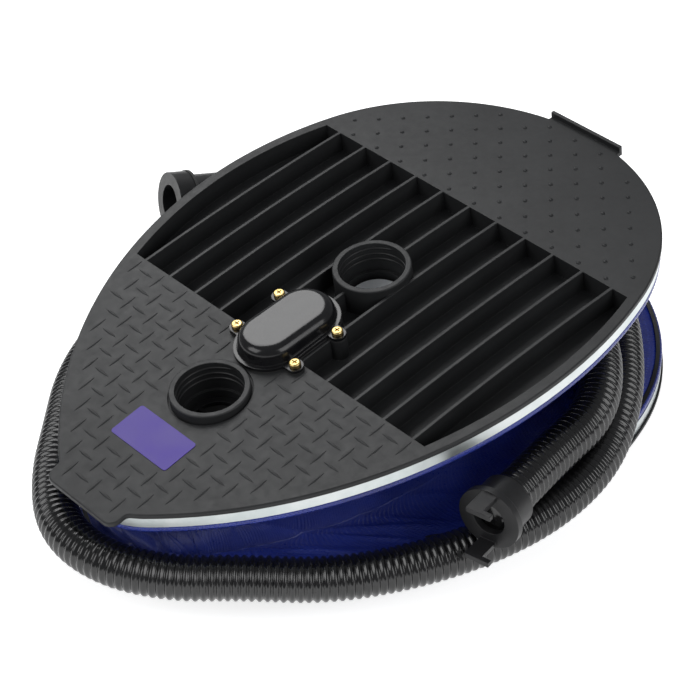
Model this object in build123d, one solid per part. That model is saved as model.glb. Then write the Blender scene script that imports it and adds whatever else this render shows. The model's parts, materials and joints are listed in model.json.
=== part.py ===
from build123d import *
import math
import os
from dataclasses import dataclass

# Foot air pump with two egg-shaped plates, a fabric bellows between them and its hose
# stowed round the bellows.  Millimetres, +Z up, +X from the hinge to the wide end.
# Both plates are the same moulding.  Each is drawn in its own plate frame: X along the
# plate from the narrow edge of its ribbed recess, Z = 0 on the outer face at the top of
# its arch, and depth counted inwards from the outer face.

# ---------------------------------------------------------------- driving dimensions
# plate outline: a wide circle and a narrow circle joined by two flank arcs
wide_x, wide_r = 132.0, 144.2
narrow_x, narrow_r = -83.4, 65.8
flank_r = 283.2
# arch of the plates along their length
arch_r, apex_x = 1920.0, 72.0
# tongue at the narrow end and turned-up lip at the wide end
tongue_x, tongue_half_w = -153.4, 31.0
tongue_corner_r, tongue_root_r = 7.0, 4.5
lip_x, lip_half_w, lip_rise, lip_t = 278.0, 30.0, 4.0, 2.4
# moulding
plate_t = 3.0
wall_t = 2.6
edge_r = 0.9
rim_depth = 16.5
# ribbed recess
rib_pitch, rib_t, rib_count = 24.0, 2.0, 11
recess_len, recess_margin = 167.5, 7.0
recess_floor_t = 2.0
# steel band and fabric hem round each rim
band_top, band_h, band_t = 2.6, 8.8, 1.2
band_inset = 1.2
hem_h, hem_inset = 5.0, 1.0
rim_gap = 0.2
# how the two plates stand to each other
wedge_deg = 6.02
deck_shift, deck_height = -9.76, 100.12
foot_clear = 1.25
# hinge at the narrow end
hinge_x, hinge_height = -125.0, 43.7
pin_d, pin_len = 5.0, 47.0
pin_clear = 0.05
knuckle_r = 6.5
base_knuckle_y, deck_knuckle_y, knuckle_w = 20.0, 13.7, 6.0
# ports
port_bore, port_wall, port_depth = 42.0, 3.6, 26.0
port_socket_depth, port_throat = 17.0, 39.0
front_port_x, front_port_rise = -50.0, 4.0
rear_port_x, rear_port_rise = 83.2, 5.0
moat_w, moat_depth = 1.2, 1.5
# valves in the ports
seat_t, seat_ring_w, seat_clear, spoke_w, hub_r = 3.0, 4.0, 0.1, 2.4, 5.0
disc_t, disc_r = 1.2, 17.6
disc_lift = 2.5
disc_gap, stem_clear = 0.1, 0.3
stem_r, stem_head_r, stem_head_t = 1.8, 4.0, 1.6
# valve cover between the ports
cover_x, cover_len, cover_w = 12.4, 73.0, 45.0
cover_flange_t, cover_flange_w, cover_dome_h, cover_wall = 2.0, 2.2, 11.0, 2.0
gasket_t = 0.8
screw_dx, screw_dy = 34.6, 52.0
lug_r, screw_r, screw_len = 5.2, 1.75, 12.0
head_r, head_h, head_round = 3.6, 2.6, 1.1
recess_slot_w, recess_slot_l, recess_slot_depth = 0.9, 3.8, 1.2
chest_hole_r = 9.0
# bellows
fabric_t = 2.0
flap_inset = 3.0
flap_gap = 0.3
# waist of the bellows, an egg of its own inside the outline
waist_wide_x, waist_wide_r = 108.0, 82.0
waist_narrow_x, waist_narrow_r = -83.4, 56.8
waist_flank_r = 330.0
# return spring
spring_x, spring_r_low, spring_r_high = 136.0, 26.0, 20.0
spring_wire, spring_turns = 3.6, 5.0
cup_t, cup_lip_h, cup_lip_t, cup_clear = 2.0, 3.0, 1.6, 0.6
spring_gap = 0.3
spring_top_clear = 4.2
# rubber feet
foot_r, foot_dx = 9.0, 117.5
foot_y_narrow, foot_y_wide = 66.0, 92.0
# label
label_x, label_len, label_w, label_t, label_r = -94.8, 25.0, 50.0, 0.3, 2.0
# hose and what is on its ends
hose_d = 27.0
end_clear = 0.2
cuff_len, cuff_t = 16.0, 3.0
nozzle_flange_d, nozzle_flange_t, nozzle_bore = 40.0, 4.5, 21.0
prong_len, prong_w, prong_t, prong_hook = 17.0, 10.0, 3.2, 6.0
connector_d, connector_len, connector_bore = 35.0, 26.0, 24.0
nose_d, nose_len = 40.6, 12.0
ring_d, ring_t = 41.6, 2.0

# ---------------------------------------------------------------- derived places
plate_span = 2 * wide_r + 40
layer_reach = 120.0
skirt_inset = band_inset + band_t + rim_gap
recess_depth = rim_depth - recess_floor_t
flap_top = rim_depth + flap_gap
rib_ys = [(i - (rib_count - 1) / 2) * rib_pitch for i in range(rib_count)]
wedge = math.radians(wedge_deg)


def arch_drop(x):
    """Depth of the arched outer face below its highest line, at plate position x."""
    return arch_r - math.sqrt(arch_r**2 - (x - apex_x) ** 2)


def deck_point(x, z):
    """Place of a point of the deck's plate frame, before the part is centred."""
    return (
        deck_shift + x * math.cos(wedge) - z * math.sin(wedge),
        foot_clear + deck_height + x * math.sin(wedge) + z * math.cos(wedge),
    )


# the part's origin is under the middle of its box
centre_x = (deck_point(tongue_x, -arch_drop(tongue_x))[0] + lip_x) / 2
base_place = Location((-centre_x, 0, foot_clear), (180, 0, 0))
deck_x0, deck_z0 = deck_point(0, 0)
deck_place = Location((deck_x0 - centre_x, 0, deck_z0), (0, -wedge_deg, 0))

# the hinge axis in the row and in the deck's plate frame
hinge_row = (hinge_x - centre_x, foot_clear + hinge_height)
hinge_dx = hinge_row[0] + centre_x - deck_x0
hinge_dz = hinge_row[1] - deck_z0
hinge_deck = (
    hinge_dx * math.cos(wedge) + hinge_dz * math.sin(wedge),
    -hinge_dx * math.sin(wedge) + hinge_dz * math.cos(wedge),
)


# ---------------------------------------------------------------- outline and layers
@dataclass(frozen=True)
class Egg:
    """An egg outline of four tangent arcs, symmetric about the X axis."""

    wide_x: float
    wide_r: float
    narrow_x: float
    narrow_r: float
    flank_r: float

    def face(self, inset=0.0):
        """The outline moved inwards by inset, as a face on the XY plane."""
        span = self.wide_x - self.narrow_x
        to_narrow = self.flank_r - self.narrow_r
        to_wide = self.flank_r - self.wide_r
        along = (span**2 + to_narrow**2 - to_wide**2) / (2 * span)
        flank = Vector(self.narrow_x + along, -math.sqrt(to_narrow**2 - along**2))
        wide_c, narrow_c = Vector(self.wide_x, 0), Vector(self.narrow_x, 0)
        wide_t = wide_c + (wide_c - flank).normalized() * (self.wide_r - inset)
        narrow_t = narrow_c + (narrow_c - flank).normalized() * (self.narrow_r - inset)
        middle = ((wide_t + narrow_t) * 0.5 - flank).normalized()
        flank_m = flank + middle * (self.flank_r - inset)

        def across(point):
            return Vector(point.X, -point.Y)

        arcs = [
            ThreePointArc(narrow_t, flank_m, wide_t),
            ThreePointArc(wide_t, wide_c + Vector(self.wide_r - inset, 0), across(wide_t)),
            ThreePointArc(across(wide_t), across(flank_m), across(narrow_t)),
            ThreePointArc(across(narrow_t), narrow_c - Vector(self.narrow_r - inset, 0), narrow_t),
        ]
        return make_face(Curve() + arcs)


rim = Egg(wide_x, wide_r, narrow_x, narrow_r, flank_r)
waist = Egg(waist_wide_x, waist_wide_r, waist_narrow_x, waist_narrow_r, waist_flank_r)


def strip(x_low, x_high, half_w=plate_span / 2):
    """A rectangle across the plate between two places along it."""
    return Pos((x_low + x_high) / 2, 0) * Rectangle(x_high - x_low, 2 * half_w)


def arched(top, bottom):
    """The arched layer between two depths below the outer face."""

    def arc(depth):
        radius = arch_r - depth

        def at(x):
            return (x, math.sqrt(radius**2 - (x - apex_x) ** 2) - arch_r)

        return ThreePointArc(at(apex_x - plate_span), at(apex_x), at(apex_x + plate_span))

    outer, inner = arc(top), arc(bottom)
    sides = [outer, Line(outer @ 1, inner @ 1), inner, Line(inner @ 0, outer @ 0)]
    return extrude(Plane.XZ * make_face(Curve() + sides), plate_span, both=True)


def layer(face, top, bottom):
    """A face of the plate carried between two depths of the arch."""
    return extrude(face, layer_reach, both=True) & arched(top, bottom)


def plate_outline():
    """The egg with its tongue and lip, the tongue's corners rounded in and out."""
    tongue = strip(tongue_x, narrow_x, tongue_half_w)
    tip = tongue.vertices().sort_by(Axis.X)[:2]
    tongue = fillet(tip, tongue_corner_r)
    joined = rim.face() + tongue
    roots = [v for v in joined.vertices() if abs(abs(v.Y) - tongue_half_w) < 0.01 and v.X < narrow_x]
    roots = sorted(roots, key=lambda v: -v.X)[:2]
    return fillet(roots, tongue_root_r) + strip(wide_x, lip_x, lip_half_w)


def knuckle(axis_x, axis_z, root_z, y):
    """A leg from the plate to the hinge axis with a bored barrel at its end."""
    barrel = Pos(axis_x, y, axis_z) * Rot(90, 0, 0) * Cylinder(knuckle_r, knuckle_w)
    leg_h = abs(axis_z - root_z)
    leg = Pos(axis_x, y, (axis_z + root_z) / 2) * Box(2 * knuckle_r, knuckle_w, leg_h)
    bore = Pos(axis_x, y, axis_z) * Rot(90, 0, 0) * Cylinder(pin_d / 2 + pin_clear, knuckle_w + 2)
    return leg + barrel - bore


def moulding():
    """The plate that deck and base share: top, skirt, ribbed recess, tongue and lip."""
    top = layer(plate_outline(), 0, plate_t)
    outer_face = top.faces().filter_by(GeomType.CYLINDER).sort_by(SortBy.AREA)[-2:]
    outer_face = outer_face.sort_by(Axis.Z)[-1]
    top = fillet(outer_face.edges(), edge_r)
    skirt = rim.face(skirt_inset) - rim.face(skirt_inset + wall_t)
    body = top + layer(skirt, plate_t - 1, rim_depth)
    pan = rim.face(recess_margin - wall_t) & strip(-wall_t, recess_len + wall_t)
    hollow = rim.face(recess_margin) & strip(0, recess_len)
    body = body + layer(pan, plate_t - 1, rim_depth) - layer(hollow, -1, recess_depth)
    bars = Sketch() + [Pos(recess_len / 2, y) * Rectangle(recess_len + 1, rib_t) for y in rib_ys]
    body = body + layer(bars & rim.face(recess_margin - 1), 0, recess_depth + 0.5)
    lip_z = -arch_drop(lip_x)
    lip = Pos(lip_x - lip_t / 2, 0, lip_z + (lip_rise - plate_t) / 2)
    return body + lip * Box(lip_t, 2 * lip_half_w, lip_rise + plate_t)


# ---------------------------------------------------------------- plates
def port_tube(x, rise):
    """The collar and tube of one port, standing on the deck's plate frame."""
    z_top, z_low = rise - arch_drop(x), -port_depth - arch_drop(x)
    outer = Cylinder(port_bore / 2 + port_wall, z_top - z_low)
    tube = Pos(x, 0, (z_top + z_low) / 2) * outer
    return fillet(tube.edges().group_by(Axis.Z)[-1], edge_r)


def port_hollow(x):
    """The stepped bore of a port: a socket for the hose over a narrower throat."""
    above = (Align.CENTER, Align.CENTER, Align.MIN)
    socket = Pos(0, 0, -port_socket_depth) * Cylinder(port_bore / 2, 2 * port_depth, align=above)
    throat = Cylinder(port_throat / 2, 4 * port_depth)
    return Pos(x, 0, -arch_drop(x)) * (socket + throat)


def stadium(length, width):
    """A slot shape along X, centred on the valve cover."""
    return Pos(cover_x, 0) * SlotOverall(length, width)


def screw_places():
    """The four cover screws, in the plate frame."""
    return [
        (cover_x + sx * screw_dx / 2, sy * screw_dy / 2)
        for sx in (-1, 1)
        for sy in (-1, 1)
    ]


def cover_face():
    """The valve cover's flange with its four screw lugs."""
    face = stadium(cover_len, cover_w)
    for x, y in screw_places():
        lug = Pos(x, y) * Circle(lug_r)
        neck = Pos(x, y - math.copysign(lug_r, y)) * Rectangle(2 * lug_r, 2 * lug_r)
        face = face + lug + neck
    return face


def deck():
    """The upper plate with its two ports, valve chest and hinge legs."""
    body = moulding()
    ring_r = port_bore / 2 + port_wall
    moat = Pos(front_port_x, 0) * (Circle(ring_r + moat_w) - Circle(ring_r))
    body = body - layer(moat, -1, moat_depth)
    body = body + port_tube(front_port_x, front_port_rise)
    body = body + port_tube(rear_port_x, rear_port_rise)
    body = body + layer(cover_face() & strip(-1, rear_port_x), 0, recess_depth + 0.5)
    body = body - port_hollow(front_port_x) - port_hollow(rear_port_x)
    body = body - layer(Pos(cover_x, 0) * Circle(chest_hole_r), -1, rim_depth + 1)
    for x, y in screw_places():
        body = body - layer(Pos(x, y) * Circle(screw_r + pin_clear), -1, screw_len)
    for y in (-deck_knuckle_y, deck_knuckle_y):
        axis_x, axis_z = hinge_deck
        body = body + knuckle(axis_x, axis_z, -arch_drop(axis_x) - plate_t / 2, y)
    return deck_place * body


def base():
    """The lower plate, the same moulding face down, with the outer hinge legs."""
    body = moulding()
    for y in (-base_knuckle_y, base_knuckle_y):
        body = body + knuckle(hinge_x, -hinge_height, -arch_drop(hinge_x) - plate_t / 2, y)
    return base_place * body


def band():
    """The steel band round a plate's rim."""
    ring = rim.face(band_inset) - rim.face(band_inset + band_t)
    return layer(ring, plate_t + 0.1, band_top + band_h)


def hem():
    """The fabric hem bead under a band."""
    ring = rim.face(hem_inset) - rim.face(skirt_inset - rim_gap)
    return layer(ring, band_top + band_h + 0.1, rim_depth)


def feet():
    """Four rubber feet that stand the arched base level."""
    solids = []
    for side, y in ((-1, foot_y_narrow), (1, foot_y_wide)):
        for sign in (-1, 1):
            peg = Pos(apex_x + side * foot_dx, sign * y, foot_clear - layer_reach / 2)
            pad = peg * Cylinder(foot_r, layer_reach) & arched(-layer_reach, 0)
            solids.append(base_place * pad)
    return Compound(children=[s.solid() for s in solids])


# ---------------------------------------------------------------- bellows and spring
def bellows():
    """The fabric: a flap along each plate and a waist wall between the flaps."""
    flap = layer(rim.face(flap_inset) - waist.face(fabric_t), flap_top, flap_top + fabric_t)
    wall = base_place * extrude(waist.face() - waist.face(fabric_t), layer_reach, both=True)
    above_base = base_place * arched(flap_top, layer_reach)
    below_deck = deck_place * arched(flap_top, layer_reach)
    # the deck leans, so its flap is cut where the wall's inner face meets it
    deck_flap = deck_place * layer(rim.face(flap_inset), flap_top, flap_top + fabric_t)
    deck_flap = deck_flap - base_place * extrude(waist.face(fabric_t), layer_reach, both=True)
    return (wall & above_base & below_deck) + base_place * flap + deck_flap


def cup_radius(coil_r):
    """Outer radius of the cup round a coil."""
    return coil_r + spring_wire / 2 + cup_clear + cup_lip_t


def cup_depth(x, coil_r):
    """Depth at which a flat cup just clears the arched back of a plate."""
    return rim_depth + arch_drop(x + cup_radius(coil_r)) + disc_gap


def spring_cup(coil_r):
    """A round cup on a plate's inner face that keeps one end of the spring centred."""
    outer = Circle(cup_radius(coil_r))
    wall = outer - Circle(cup_radius(coil_r) - cup_lip_t)
    return extrude(outer, cup_t) + extrude(wall, cup_t + cup_lip_h)


def base_spring_cup():
    """The lower cup, on the back of the base's recess floor."""
    height = foot_clear + cup_depth(spring_x, spring_r_low)
    return Pos(spring_x - centre_x, 0, height) * spring_cup(spring_r_low)


def deck_spring_cup():
    """The upper cup, on the back of the deck's recess floor."""
    x = spring_x - deck_shift
    place = Pos(x, 0, -cup_depth(x, spring_r_high)) * Rot(180, 0, 0)
    return deck_place * place * spring_cup(spring_r_high)


def return_spring():
    """The conical spring between the two cups."""
    z_low = foot_clear + cup_depth(spring_x, spring_r_low) + cup_t + spring_gap
    x = spring_x - deck_shift
    z_high = deck_point(x, -cup_depth(x, spring_r_high) - cup_t)[1] - spring_top_clear
    rise = z_high - z_low - spring_wire
    cone = math.degrees(math.atan((spring_r_low - spring_r_high) / rise))
    path = Helix(rise / spring_turns, rise, spring_r_low, cone_angle=-cone)
    section = Plane(path @ 0, z_dir=path % 0) * Circle(spring_wire / 2)
    coil = sweep(section, path, is_frenet=True)
    return Pos(spring_x - centre_x, 0, z_low + spring_wire / 2) * coil


def hinge_pin():
    """The steel pin through the four knuckles."""
    return Pos(hinge_row[0], 0, hinge_row[1]) * Rot(90, 0, 0) * Cylinder(pin_d / 2, pin_len)


# ---------------------------------------------------------------- valves and cover
def valve_seat(x):
    """A spoked seat held in the foot of a port's tube."""
    radius = port_throat / 2 - seat_clear
    ring = Circle(radius) - Circle(radius - seat_ring_w)
    spokes = Rectangle(2 * radius - 2, spoke_w) + Rectangle(spoke_w, 2 * radius - 2)
    face = ring + spokes + Circle(hub_r) - Circle(stem_r + pin_clear)
    return Pos(x, 0, -port_depth - arch_drop(x)) * extrude(face, seat_t)


def valve_disc():
    """A flap disc with its stem hole."""
    return extrude(Circle(disc_r) - Circle(stem_r + stem_clear), disc_t)


def valve_stem():
    """A stem through the seat's hub with a flat head that stops the disc."""
    reach = seat_t + disc_gap + disc_t + disc_lift + disc_gap
    shank = Cylinder(stem_r, reach, align=(Align.CENTER, Align.CENTER, Align.MIN))
    head = Cylinder(stem_head_r, stem_head_t, align=(Align.CENTER, Align.CENTER, Align.MIN))
    return shank + Pos(0, 0, reach) * head


def outlet_valve():
    """Seat, disc and stem of the rear port: the disc lifts outwards."""
    z = -port_depth - arch_drop(rear_port_x)
    disc = deck_place * Pos(rear_port_x, 0, z + seat_t + disc_gap) * valve_disc()
    stem = deck_place * Pos(rear_port_x, 0, z) * valve_stem()
    return deck_place * valve_seat(rear_port_x), disc, stem


def intake_valve():
    """Seat, disc and stem of the front port: the disc drops inwards."""
    z = -port_depth - arch_drop(front_port_x)
    disc = deck_place * Pos(front_port_x, 0, z - disc_gap - disc_t) * valve_disc()
    stem = deck_place * Pos(front_port_x, 0, z + seat_t) * Rot(180, 0, 0) * valve_stem()
    return deck_place * valve_seat(front_port_x), disc, stem


def cover_gasket():
    """The rubber gasket under the valve cover."""
    face = cover_face() - stadium(cover_len - 4 * cover_flange_w, cover_w - 4 * cover_flange_w)
    for x, y in screw_places():
        face = face - Pos(x, y) * Circle(screw_r + pin_clear)
    return deck_place * layer(face, -gasket_t - disc_gap, -disc_gap)


def valve_cover():
    """The domed cover over the valve chest."""
    seat = gasket_t + 2 * disc_gap
    flange = layer(cover_face(), -seat - cover_flange_t, -seat)
    dome_face = stadium(cover_len - 2 * cover_flange_w, cover_w - 2 * cover_flange_w)
    dome = extrude(Pos(0, 0, seat) * dome_face, cover_dome_h, taper=12)
    dome = fillet(dome.faces().sort_by(Axis.Z)[-1].edges(), 0.6 * cover_dome_h)
    inner_face = stadium(cover_len - 4 * cover_flange_w, cover_w - 4 * cover_flange_w)
    inner = extrude(Pos(0, 0, seat - 2) * inner_face, cover_dome_h + 2 - cover_wall, taper=12)
    body = flange + dome - inner
    for x, y in screw_places():
        body = body - Pos(x, y) * Cylinder(screw_r + pin_clear, 4 * cover_dome_h)
    return deck_place * body


def cover_screws():
    """Four pan-head screws with a cross recess."""
    head_z = gasket_t + 2 * disc_gap + cover_flange_t
    solids = []
    for x, y in screw_places():
        drop = arch_drop(x)
        head = Cylinder(head_r, head_h, align=(Align.CENTER, Align.CENTER, Align.MIN))
        head = fillet(head.edges().group_by(Axis.Z)[-1], head_round)
        for turn in (0, 90):
            slot = Box(recess_slot_l, recess_slot_w, 2 * recess_slot_depth)
            head = head - Pos(0, 0, head_h) * Rot(0, 0, turn) * slot
        shank_len = head_z + screw_len - 1
        shank = Cylinder(screw_r, shank_len, align=(Align.CENTER, Align.CENTER, Align.MAX))
        screw = Pos(x, y, head_z + rim_gap - drop) * (head + shank)
        solids.append((deck_place * screw).solid())
    return Compound(children=solids)


def label():
    """The bare sticker on the deck."""
    face = Pos(label_x, 0) * RectangleRounded(label_len, label_w, label_r)
    return deck_place * layer(face, -label_t - 0.02, -0.02)


# ---------------------------------------------------------------- hose
# The hose lies from its nozzle, on top of its own outer strand at the front, round the
# inside of the wide end and the back, out over the rim, round the narrow end and the
# front, and round the wide end again to its connector at the back.
hose_route = [
    (-50.0, -166.0, 60.0),
    (-21.0, -160.0, 59.0),
    (15.0, -153.0, 58.0),
    (56.0, -148.0, 58.0),
    (93.0, -122.0, 59.0),
    (124.0, -84.0, 53.0),
    (143.0, -44.0, 45.0),
    (150.0, -4.0, 43.0),
    (143.0, 37.0, 42.0),
    (123.0, 73.0, 41.0),
    (92.0, 101.0, 40.0),
    (53.0, 126.0, 38.0),
    (8.0, 146.0, 35.0),
    (-38.0, 157.0, 30.5),
    (-86.0, 152.0, 30.5),
    (-128.0, 127.0, 33.0),
    (-163.0, 92.0, 36.0),
    (-195.0, 62.0, 35.5),
    (-221.0, 22.0, 37.5),
    (-221.0, -19.0, 37.5),
    (-201.0, -56.0, 36.5),
    (-170.0, -84.0, 35.5),
    (-136.0, -116.0, 31.5),
    (-95.0, -139.0, 29.0),
    (-48.0, -156.0, 27.5),
    (2.0, -164.0, 27.5),
    (50.0, -160.0, 32.5),
    (92.0, -138.0, 38.0),
    (128.0, -109.0, 38.0),
    (160.0, -74.0, 40.0),
    (178.0, -33.0, 41.5),
    (181.0, 10.0, 41.5),
    (170.0, 51.0, 42.0),
    (147.0, 90.0, 45.0),
    (112.0, 126.0, 53.0),
    (72.0, 153.0, 65.0),
    (34.0, 165.0, 74.0),
]


def bend_radii(points):
    """The largest radius that the runs beside each corner leave room for."""
    radii = []
    for before, at, after in zip(points, points[1:], points[2:]):
        run_in, run_out = Vector(at) - Vector(before), Vector(after) - Vector(at)
        half_turn = math.radians(run_in.get_angle(run_out)) / 2
        radii.append(0.45 * min(run_in.length, run_out.length) / math.tan(half_turn))
    return radii


def hose_path():
    """Straight runs joined by tangent arcs along the route."""
    return FilletPolyline(*hose_route, radius=bend_radii(hose_route))


def end_frame(tip, inner):
    """A plane at one end of the hose whose z axis points out of the hose."""
    out = (Vector(tip) - Vector(inner)).normalized()
    side = Vector(0, 0, 1).cross(out)
    return Plane(origin=tip, x_dir=side, z_dir=out)


nozzle_end = end_frame(hose_route[0], hose_route[1])
connector_end = end_frame(hose_route[-1], hose_route[-2])


def hose():
    """The hose as one plain tube of its outer diameter."""
    path = hose_path()
    return sweep(Plane(path @ 0, z_dir=path % 0) * Circle(hose_d / 2), path)


def sleeve(outer_d, bore, length, start=0.0):
    """A tube along z from start."""
    return Pos(0, 0, start) * extrude(Circle(outer_d / 2) - Circle(bore / 2), length)


def hose_cuff():
    """The collar that clamps the hose behind its nozzle."""
    bore = hose_d + 2 * end_clear
    return nozzle_end * sleeve(bore + 2 * cuff_t, bore, cuff_len, -cuff_len)


def hose_nozzle():
    """The nozzle: a flanged ring with two hooked bayonet prongs."""
    body = sleeve(nozzle_flange_d, nozzle_bore, nozzle_flange_t, end_clear)
    for sign in (-1, 1):
        y = sign * (nozzle_flange_d / 2 - prong_t / 2 - 1)
        z = end_clear + nozzle_flange_t
        prong = Pos(0, y, z + prong_len / 2 - 1) * Box(prong_w, prong_t, prong_len + 2)
        hook = Pos(prong_hook / 2, y, z + prong_len - prong_t / 2)
        body = body + prong + hook * Box(prong_w + prong_hook, prong_t, prong_t)
    return nozzle_end * body


def hose_connector():
    """The fluted connector that screws into a port."""
    start = end_clear
    grip = sleeve(connector_d, connector_bore, connector_len, start)
    return connector_end * grip


def connector_nose():
    """The threaded nose on the connector, which enters a port."""
    start = 2 * end_clear + connector_len + ring_t + end_clear
    return connector_end * sleeve(nose_d, connector_bore, nose_len, start)


def connector_seal():
    """The seal ring between the connector's grip and its nose."""
    return connector_end * sleeve(ring_d, connector_bore, ring_t, 2 * end_clear + connector_len)


# ---------------------------------------------------------------- write the parts
def build_parts():
    """Every node's name with its solid."""
    outlet_seat, outlet_disc, outlet_stem = outlet_valve()
    intake_seat, intake_disc, intake_stem = intake_valve()
    return {
        "deck": deck(),
        "base": base(),
        "deck_band": deck_place * band(),
        "base_band": base_place * band(),
        "deck_hem": deck_place * hem(),
        "base_hem": base_place * hem(),
        "rubber_feet": feet(),
        "bellows": bellows(),
        "hinge_pin": hinge_pin(),
        "return_spring": return_spring(),
        "base_spring_cup": base_spring_cup(),
        "deck_spring_cup": deck_spring_cup(),
        "outlet_seat": outlet_seat,
        "outlet_disc": outlet_disc,
        "outlet_stem": outlet_stem,
        "intake_seat": intake_seat,
        "intake_disc": intake_disc,
        "intake_stem": intake_stem,
        "valve_cover": valve_cover(),
        "cover_gasket": cover_gasket(),
        "cover_screws": cover_screws(),
        "label": label(),
        "hose": hose(),
        "hose_cuff": hose_cuff(),
        "hose_nozzle": hose_nozzle(),
        "hose_connector": hose_connector(),
        "connector_seal": connector_seal(),
        "connector_nose": connector_nose(),
    }


os.makedirs("parts", exist_ok=True)
for node, shape in build_parts().items():
    export_step(shape, f"parts/{node}.step")

route_path = hose_path()
print("hose length", round(route_path.length, 1))
print("hose bend radii", [round(r) for r in bend_radii(hose_route)])
print("hinge axis", [round(v, 3) for v in hinge_row], "centre_x", round(centre_x, 3))
for name, x, rise in (("front", front_port_x, front_port_rise), ("rear", rear_port_x, rear_port_rise)):
    mouth_x, mouth_z = deck_point(x, rise - arch_drop(x))
    print(name, "port mouth", round(mouth_x - centre_x, 3), round(mouth_z, 3))
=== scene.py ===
"""Looks of a foot air pump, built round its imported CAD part. Metres, +Z up, +X to the wide end."""

import json
import logging
import math
from dataclasses import dataclass
from enum import Enum

import bpy
import numpy as np
from mathutils import Matrix, Vector

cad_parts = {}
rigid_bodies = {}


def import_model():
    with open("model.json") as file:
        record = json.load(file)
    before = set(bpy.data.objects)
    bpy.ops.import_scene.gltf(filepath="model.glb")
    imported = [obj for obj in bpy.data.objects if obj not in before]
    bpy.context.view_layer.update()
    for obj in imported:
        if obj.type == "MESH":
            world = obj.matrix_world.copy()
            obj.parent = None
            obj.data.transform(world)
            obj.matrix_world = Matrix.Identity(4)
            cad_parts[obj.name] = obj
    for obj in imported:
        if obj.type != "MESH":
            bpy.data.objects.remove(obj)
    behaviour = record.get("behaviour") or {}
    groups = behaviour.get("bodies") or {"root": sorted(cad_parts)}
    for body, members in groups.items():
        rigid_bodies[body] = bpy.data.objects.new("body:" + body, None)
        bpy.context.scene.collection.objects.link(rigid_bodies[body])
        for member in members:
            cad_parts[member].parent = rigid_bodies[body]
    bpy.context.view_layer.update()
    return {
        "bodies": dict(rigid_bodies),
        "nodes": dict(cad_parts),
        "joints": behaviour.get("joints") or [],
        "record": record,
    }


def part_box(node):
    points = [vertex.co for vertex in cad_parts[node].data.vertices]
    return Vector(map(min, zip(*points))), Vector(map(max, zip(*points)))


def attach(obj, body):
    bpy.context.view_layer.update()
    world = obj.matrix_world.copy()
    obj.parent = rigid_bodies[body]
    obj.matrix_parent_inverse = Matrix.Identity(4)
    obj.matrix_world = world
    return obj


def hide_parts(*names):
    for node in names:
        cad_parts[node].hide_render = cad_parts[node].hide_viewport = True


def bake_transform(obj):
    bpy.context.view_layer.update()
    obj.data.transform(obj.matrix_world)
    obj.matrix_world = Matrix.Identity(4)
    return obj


LOG = logging.getLogger("foot_pump")
TAU = 2 * math.pi
UP = np.array([0.0, 0.0, 1.0])

# Route of the stowed hose, the same points as the CAD tube's: nozzle end first, metres.
HOSE_ROUTE: tuple[tuple[float, float, float], ...] = (
    (-0.050, -0.166, 0.060), (-0.021, -0.160, 0.059), (0.015, -0.153, 0.058), (0.056, -0.148, 0.058),
    (0.093, -0.122, 0.059), (0.124, -0.084, 0.053), (0.143, -0.044, 0.045), (0.150, -0.004, 0.043),
    (0.143, 0.037, 0.042), (0.123, 0.073, 0.041), (0.092, 0.101, 0.040), (0.053, 0.126, 0.038),
    (0.008, 0.146, 0.035), (-0.038, 0.157, 0.0305), (-0.086, 0.152, 0.0305), (-0.128, 0.127, 0.033),
    (-0.163, 0.092, 0.036), (-0.195, 0.062, 0.0355), (-0.221, 0.022, 0.0375), (-0.221, -0.019, 0.0375),
    (-0.201, -0.056, 0.0365), (-0.170, -0.084, 0.0355), (-0.136, -0.116, 0.0315), (-0.095, -0.139, 0.029),
    (-0.048, -0.156, 0.0275), (0.002, -0.164, 0.0275), (0.050, -0.160, 0.0325), (0.092, -0.138, 0.038),
    (0.128, -0.109, 0.038), (0.160, -0.074, 0.040), (0.178, -0.033, 0.0415), (0.181, 0.010, 0.0415),
    (0.170, 0.051, 0.042), (0.147, 0.090, 0.045), (0.112, 0.126, 0.053), (0.072, 0.153, 0.065),
    (0.034, 0.165, 0.074))


# ------------------------------------------------------------------------------ meshes
def grid_faces(rows: int, cols: int, closed_rows: bool = False, closed_cols: bool = False) -> np.ndarray:
    """Quads of a grid of rows x cols vertices.

    Args:
        rows: number of rows of vertices.
        cols: number of vertices in a row.
        closed_rows: whether the last row joins the first.
        closed_cols: whether each row's last vertex joins its first.

    Returns:
        An (n, 4) array of vertex numbers, turning the same way all over the grid.
    """
    i = np.arange(rows if closed_rows else rows - 1)[:, None]
    j = np.arange(cols if closed_cols else cols - 1)[None, :]
    k, m = (i + 1) % rows, (j + 1) % cols
    quads = np.stack([i * cols + j, i * cols + m, k * cols + m, k * cols + j], axis=-1)
    return quads.reshape(-1, 4)


def make_piece(name: str, points: np.ndarray, faces: np.ndarray, uv: np.ndarray | None = None,
               smooth: bool = True) -> bpy.types.Object:
    """A mesh object at the origin from whole arrays.

    Args:
        name: the piece's name.
        points: (n, 3) vertices in metres.
        faces: (m, 3) or (m, 4) vertex numbers.
        uv: (m * corners, 2) values of the map "UVMap", or None.
        smooth: whether the faces shade smoothly.

    Returns:
        The object, linked to the scene.
    """
    mesh = bpy.data.meshes.new(name)
    corners = faces.shape[1]
    mesh.vertices.add(len(points))
    mesh.vertices.foreach_set("co", np.asarray(points, np.float32).ravel())
    mesh.loops.add(faces.size)
    mesh.loops.foreach_set("vertex_index", faces.astype(np.int32).ravel())
    mesh.polygons.add(len(faces))
    mesh.polygons.foreach_set("loop_start", np.arange(0, faces.size, corners, dtype=np.int32))
    mesh.polygons.foreach_set("use_smooth", np.full(len(faces), smooth))
    if uv is not None:
        mesh.uv_layers.new(name="UVMap").data.foreach_set("uv", uv.astype(np.float32).ravel())
    mesh.validate()
    mesh.update()
    piece = bpy.data.objects.new(name, mesh)
    bpy.context.scene.collection.objects.link(piece)
    return piece


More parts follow.
